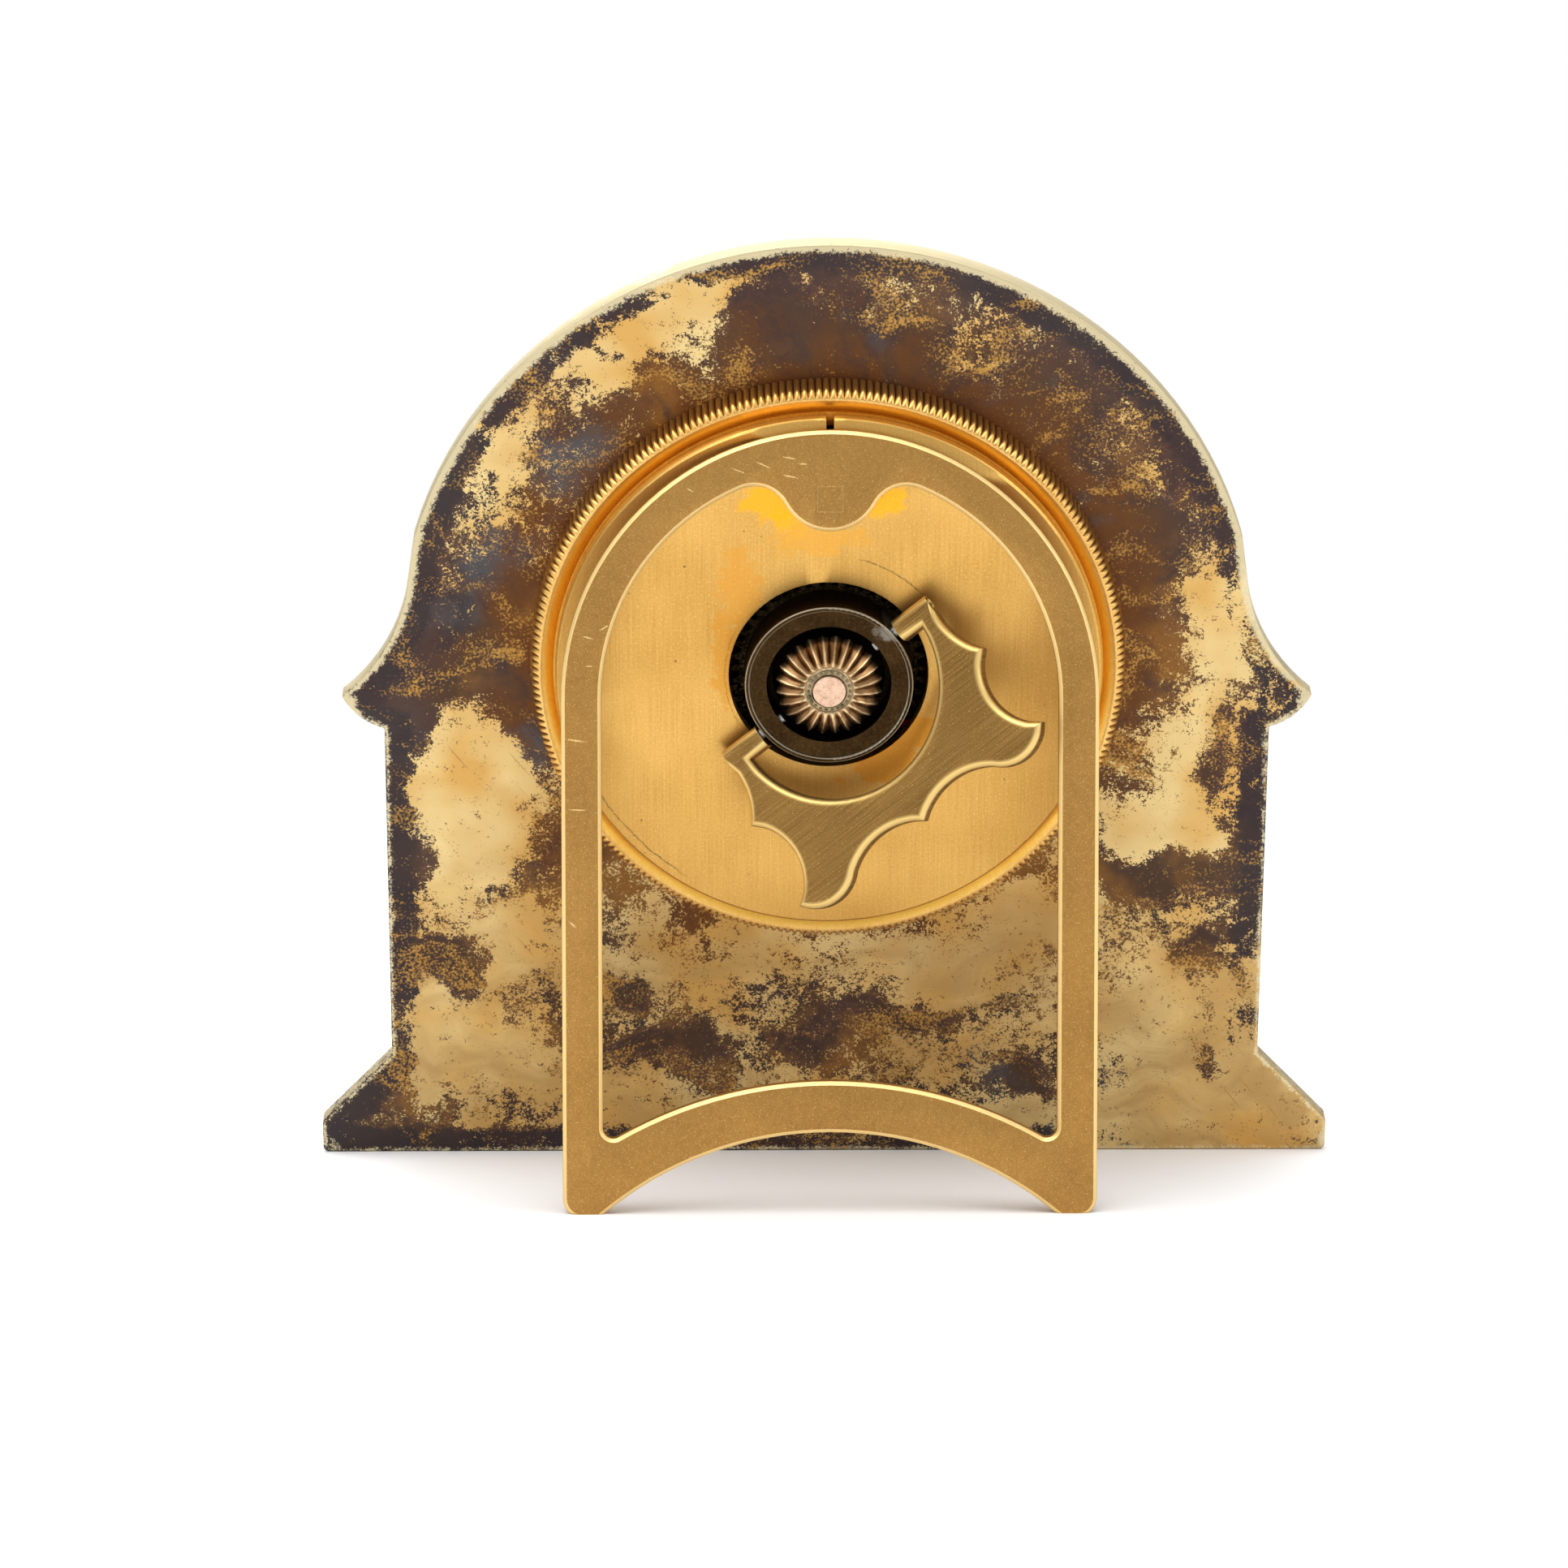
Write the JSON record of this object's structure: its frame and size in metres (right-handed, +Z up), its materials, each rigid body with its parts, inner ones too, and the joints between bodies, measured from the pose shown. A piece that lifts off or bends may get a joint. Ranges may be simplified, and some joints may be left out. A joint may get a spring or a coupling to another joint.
{
  "type": "desk clock with calendar",
  "caption": "Small arched brass desk clock with a date window in its dial, a folding rear strut, a winged winding key and a hand-setting button.",
  "frame": {"origin": "middle of the footprint on the table, halfway from front to back", "axes": "+Z up, the dial faces -Y, the folding strut stands at +Y, +X to the right of someone who reads the dial"},
  "size_m": [0.1102, 0.0376, 0.1024],
  "materials": {
    "gilt_brass": "worn gilt with heavy tarnish",
    "panel_brass": "fine brushed",
    "lacquered_brass": "brushed and lacquered",
    "aged_brass": "matt, darkened",
    "copper_brass": "polished, worn",
    "steel": "fine brushed",
    "dial_paint": "satin",
    "hand_paint": "gloss",
    "glass": "clear, polished",
    "jewel": "polished"
  },
  "bodies": {
    "case": {"front_plate": "gilt_brass", "front_panel": "panel_brass", "front_border": "gilt_brass", "drum_case": "lacquered_brass", "knurled_ring_nut": "lacquered_brass", "back_cover": "lacquered_brass", "hinge_lugs": "aged_brass", "strut_hinge_pin": "steel", "bezel": "gilt_brass", "crystal": "glass", "dial_spacer_ring": "lacquered_brass", "dial": "dial_paint", "dial_screws": "steel", "date_ring_keeper": "lacquered_brass", "date_jumper": "steel", "main_plate": "lacquered_brass", "back_plate": "lacquered_brass", "pillars": "lacquered_brass", "pillar_screws": "steel", "case_screws": "steel", "click_spring": "steel", "click_screw": "steel", "winding_bush": "lacquered_brass", "minute_wheel_stud": "steel", "date_wheel_stud": "steel", "hairspring_stud": "steel", "pivot_jewels": "jewel"},
    "stand": {"strut": "aged_brass", "strut_knuckle": "aged_brass"},
    "winding": {"winding_ring": "aged_brass", "winding_wheel": "lacquered_brass", "wing_hinge_pins": "steel"},
    "wing": {"winding_wing": "aged_brass"},
    "ratchet": {"ratchet_wheel": "steel", "barrel_arbor": "steel"},
    "ratchet_click": {"click": "steel"},
    "hand_setting": {"centre_arbor": "steel", "setting_knob": "copper_brass", "knob_cap": "copper_brass", "cannon_pinion": "steel", "minute_hand": "hand_paint", "hand_nut": "hand_paint"},
    "minute_work": {"minute_wheel": "lacquered_brass"},
    "hour_work": {"hour_wheel": "lacquered_brass", "hour_hand": "hand_paint"},
    "date_drive": {"date_wheel": "lacquered_brass"},
    "date_indicator": {"date_ring": "dial_paint"},
    "centre_drive": {"centre_wheel": "lacquered_brass"},
    "intermediate_drive": {"intermediate_wheel": "lacquered_brass"},
    "spring_barrel": {"barrel": "lacquered_brass", "barrel_cover": "lacquered_brass", "mainspring": "steel"},
    "third_drive": {"third_wheel": "lacquered_brass"},
    "fourth_drive": {"fourth_wheel": "lacquered_brass"},
    "escape_drive": {"escape_wheel": "steel"},
    "lever": {"pallet_lever": "steel"},
    "balance": {"balance_wheel": "lacquered_brass", "hairspring": "steel"}
  },
  "joints": [
    {"name": "strut_hinge", "type": "hinge", "parent": "case", "child": "stand", "pos_m": [0, 0.01362, 0.07533], "axis": [-1, 0, 0], "range_deg": [0, 17]},
    {"name": "winding_turn", "type": "hinge", "parent": "case", "child": "winding", "pos_m": [0, 0.00719, 0.05573], "axis": [0, -0.9655, 0.2605], "continuous": true},
    {"name": "wing_hinge", "type": "hinge", "parent": "winding", "child": "wing", "pos_m": [0, 0.00893, 0.05526], "axis": [0.766, -0.1674, -0.6206], "range_deg": [-31, 59]},
    {"name": "ratchet_turn", "type": "hinge", "parent": "case", "child": "ratchet", "pos_m": [0.0155, 0.00089, 0.05158], "axis": [0, -0.9655, 0.2605], "continuous": true},
    {"name": "click_pivot", "type": "hinge", "parent": "case", "child": "ratchet_click", "pos_m": [0.01315, -0.0014, 0.04308], "axis": [0, 0.9655, -0.2605], "range_deg": [0, 3], "stiffness_Nm_per_rad": 0.0005},
    {"name": "hand_setting_turn", "type": "hinge", "parent": "case", "child": "hand_setting", "pos_m": [0, 0.00719, 0.05573], "axis": [0, 0.9655, -0.2605], "continuous": true},
    {"name": "minute_wheel_turn", "type": "hinge", "parent": "case", "child": "minute_work", "pos_m": [0.00205, 0.00089, 0.05159], "axis": [0, 0.9655, -0.2605], "continuous": true},
    {"name": "hour_wheel_turn", "type": "hinge", "parent": "case", "child": "hour_work", "pos_m": [0, 0.00719, 0.05573], "axis": [0, 0.9655, -0.2605], "continuous": true},
    {"name": "date_wheel_turn", "type": "hinge", "parent": "case", "child": "date_drive", "pos_m": [0.00296, 0.00448, 0.06487], "axis": [0, 0.9655, -0.2605], "continuous": true},
    {"name": "date_ring_turn", "type": "hinge", "parent": "case", "child": "date_indicator", "pos_m": [0, 0.00719, 0.05573], "axis": [0, 0.9655, -0.2605], "continuous": true},
    {"name": "fourth_wheel_turn", "type": "hinge", "parent": "case", "child": "fourth_drive", "pos_m": [-0.00951, 0.00358, 0.06152], "axis": [0, 0.9655, -0.2605], "continuous": true},
    {"name": "escape_wheel_turn", "type": "hinge", "parent": "case", "child": "escape_drive", "pos_m": [-0.01261, 0.00242, 0.05725], "axis": [0, 0.9655, -0.2605], "continuous": true},
    {"name": "third_wheel_turn", "type": "hinge", "parent": "case", "child": "third_drive", "pos_m": [-0.0036, 0.00399, 0.06305], "axis": [0, 0.9655, -0.2605], "continuous": true},
    {"name": "centre_wheel_turn", "type": "hinge", "parent": "case", "child": "centre_drive", "pos_m": [0, 0.00719, 0.05573], "axis": [0, 0.9655, -0.2605], "continuous": true},
    {"name": "intermediate_wheel_turn", "type": "hinge", "parent": "case", "child": "intermediate_drive", "pos_m": [0.00695, 0.0029, 0.05903], "axis": [0, 0.9655, -0.2605], "continuous": true},
    {"name": "barrel_turn", "type": "hinge", "parent": "case", "child": "spring_barrel", "pos_m": [0.0155, 0.00089, 0.05158], "axis": [0, 0.9655, -0.2605], "continuous": true},
    {"name": "pallet_lever_rock", "type": "hinge", "parent": "case", "child": "lever", "pos_m": [-0.01303, 0.00153, 0.05393], "axis": [0, 0.9655, -0.2605], "range_deg": [-5, 5]},
    {"name": "balance_swing", "type": "hinge", "parent": "case", "child": "balance", "pos_m": [-0.00857, 0.00048, 0.05006], "axis": [0, 0.9655, -0.2605], "range_deg": [-220, 220], "stiffness_Nm_per_rad": 0.0000009}
  ],
  "couplings": [
    {"joint": "ratchet_turn", "follows": "winding_turn", "ratio": -1.5172},
    {"joint": "minute_wheel_turn", "follows": "hand_setting_turn", "ratio": -0.33333},
    {"joint": "hour_wheel_turn", "follows": "hand_setting_turn", "ratio": 0.083333},
    {"joint": "date_wheel_turn", "follows": "hand_setting_turn", "ratio": -0.041667},
    {"joint": "date_ring_turn", "follows": "hand_setting_turn", "ratio": -0.0013441},
    {"joint": "escape_wheel_turn", "follows": "fourth_wheel_turn", "ratio": -8},
    {"joint": "third_wheel_turn", "follows": "fourth_wheel_turn", "ratio": -0.13333},
    {"joint": "centre_wheel_turn", "follows": "fourth_wheel_turn", "ratio": 0.016667},
    {"joint": "intermediate_wheel_turn", "follows": "fourth_wheel_turn", "ratio": -0.0034722},
    {"joint": "barrel_turn", "follows": "fourth_wheel_turn", "ratio": 0.00069444}
  ]
}
